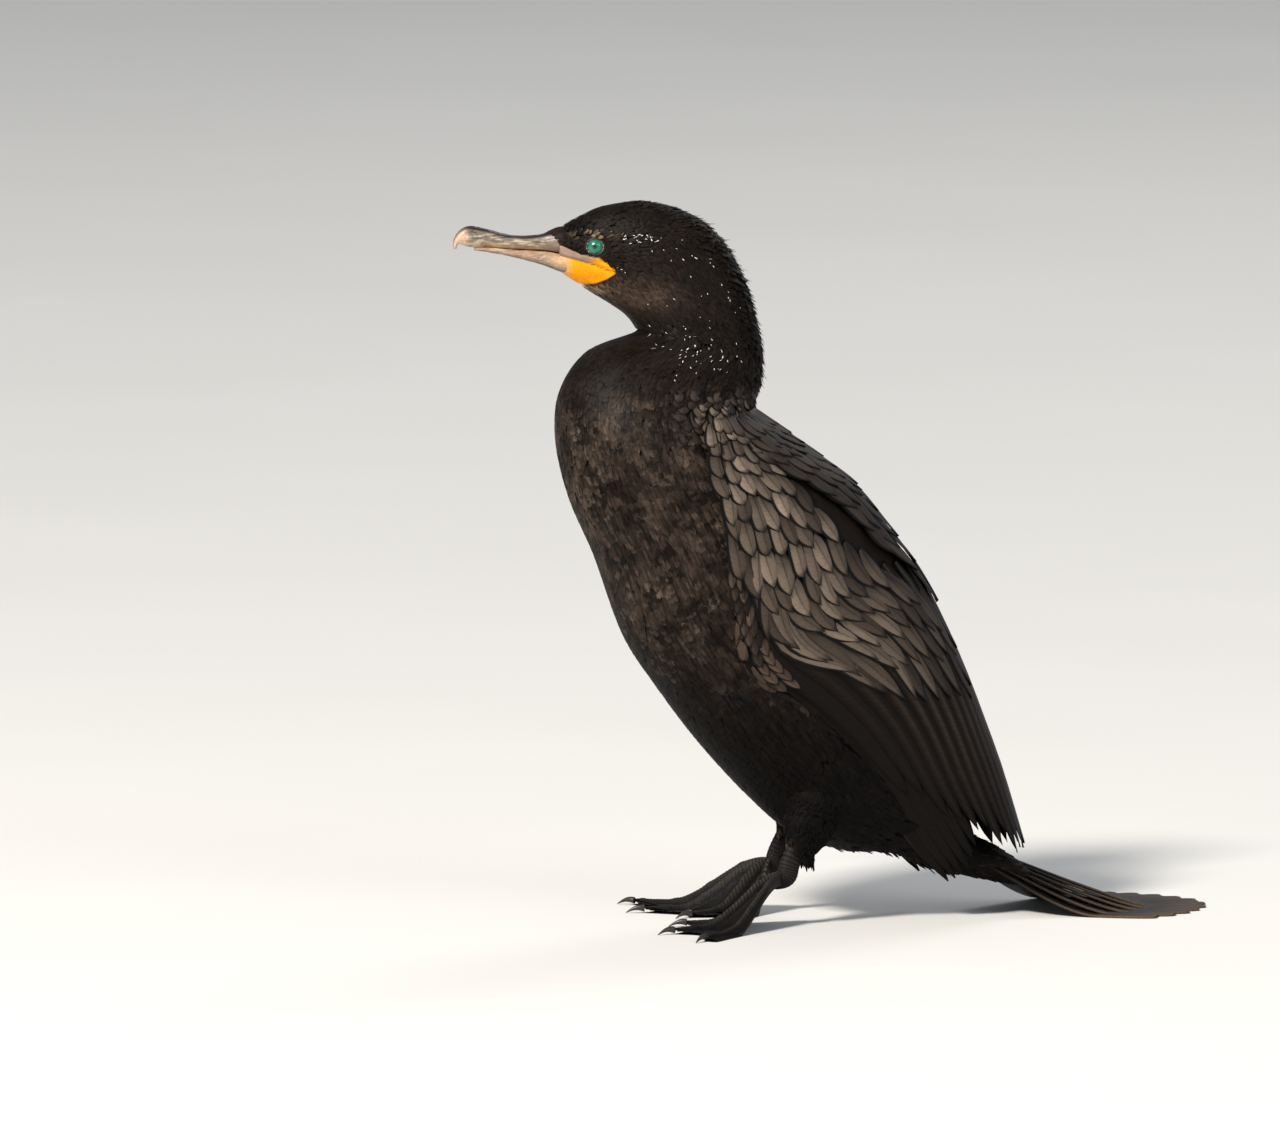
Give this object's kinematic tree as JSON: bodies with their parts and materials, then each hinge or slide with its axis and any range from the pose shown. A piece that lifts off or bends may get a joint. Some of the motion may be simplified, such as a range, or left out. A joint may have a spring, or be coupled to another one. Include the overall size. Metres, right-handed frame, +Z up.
{
  "type": "neotropic cormorant",
  "caption": "Life-size standing cormorant with an S-curved neck, hooked bill, folded wings, fanned tail on the floor and webbed feet.",
  "frame": {"origin": "on the floor, under the middle of the bird's whole box", "axes": "+Z up, the bird's breast faces -Y, +X is the bird's left side"},
  "size_m": [0.1838, 0.4158, 0.3901],
  "materials": {
    "plumage": "matt brown-black body feathers with a faint sheen",
    "wing_feather": "grey-brown feathers with thin black edges and dark shafts, a low sheen",
    "tail_feather": "stiff brown-black feathers with worn brown edges",
    "bill_horn": "grey-brown flaking horn with a pale hook and a dark ridge",
    "bare_skin": "bare throat and face skin, yellow-orange to cream, softly wrinkled",
    "eye": "wet emerald-green eye with a dark pupil",
    "foot_skin": "black leathery skin with pale scale ridges on the toes",
    "claw": "dark horn, satin"
  },
  "bodies": {
    "root": {"claw_left_1": "claw", "claw_left_2": "claw", "claw_left_3": "claw", "claw_left_4": "claw", "claw_right_1": "claw", "claw_right_2": "claw", "claw_right_3": "claw", "claw_right_4": "claw", "eye_left": "eye", "eye_right": "eye", "foot_left": "foot_skin", "foot_right": "foot_skin", "head": "plumage", "lower_bill": "bare_skin", "lower_neck": "plumage", "shank_left": "foot_skin", "shank_right": "foot_skin", "tail": "tail_feather", "thigh_left": "plumage", "thigh_right": "plumage", "trunk": "plumage", "upper_bill": "bill_horn", "upper_neck": "plumage", "wing_left": "wing_feather", "wing_right": "wing_feather"}
  },
  "joints": []
}
